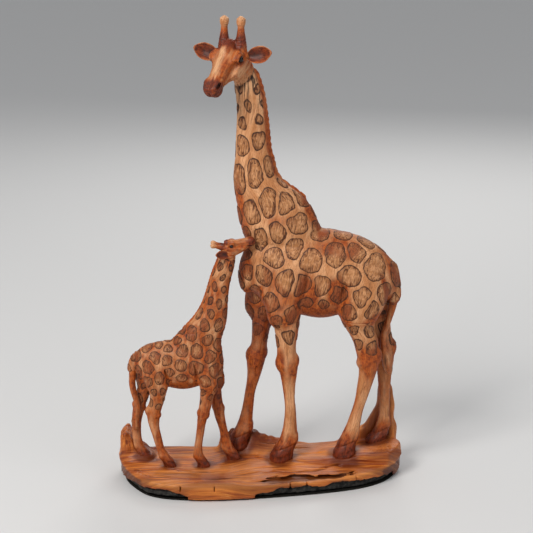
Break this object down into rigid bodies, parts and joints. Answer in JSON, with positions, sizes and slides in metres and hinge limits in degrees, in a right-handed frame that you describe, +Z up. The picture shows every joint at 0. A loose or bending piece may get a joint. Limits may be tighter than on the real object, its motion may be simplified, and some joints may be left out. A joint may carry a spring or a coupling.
{
  "type": "carved giraffe statue",
  "caption": "Carved wooden ornament of a standing mother giraffe, head turned to the front, with her calf nuzzling her chest, on an irregular driftwood base.",
  "frame": {"origin": "centre of the footprint, on the surface that the felt under the base stands on", "axes": "+Z up; +X along the base from the calf's end towards the mother's rump; -Y is the front, which the mother's face is turned to"},
  "size_m": [0.2081, 0.076, 0.3363],
  "materials": {
    "coat": "satin, carved and stained patches",
    "face": "satin, stained",
    "horn": "satin, stained",
    "mane": "satin, stained",
    "leg": "satin, dark polished hooves",
    "driftwood": "satin, streaky grain",
    "bark": "rough matt bark",
    "felt": "matt felt",
    "bead": "gloss bead",
    "dowel": "raw hidden dowel"
  },
  "bodies": {
    "root": {"base": "driftwood", "bark_front": "bark", "bark_left": "bark", "base_felt": "felt", "mother_torso": "coat", "mother_neck": "coat", "mother_head": "face", "mother_tail": "mane", "mother_ear_left": "face", "mother_ear_right": "face", "mother_horn_left": "horn", "mother_horn_right": "horn", "mother_eye_left": "bead", "mother_eye_right": "bead", "mother_leg_front_left": "leg", "mother_leg_front_right": "leg", "mother_leg_hind_left": "leg", "mother_leg_hind_right": "leg", "mother_neck_dowel": "dowel", "mother_head_dowel": "dowel", "mother_leg_dowels": "dowel", "mother_foot_pegs": "dowel", "calf_torso": "coat", "calf_neck": "coat", "calf_head": "face", "calf_tail": "mane", "calf_ear_left": "face", "calf_ear_right": "face", "calf_horn_left": "horn", "calf_horn_right": "horn", "calf_eye_left": "bead", "calf_eye_right": "bead", "calf_leg_front_left": "leg", "calf_leg_front_right": "leg", "calf_leg_hind_left": "leg", "calf_leg_hind_right": "leg", "calf_neck_dowel": "dowel", "calf_head_dowel": "dowel", "calf_leg_dowels": "dowel", "calf_foot_pegs": "dowel"}
  },
  "joints": []
}
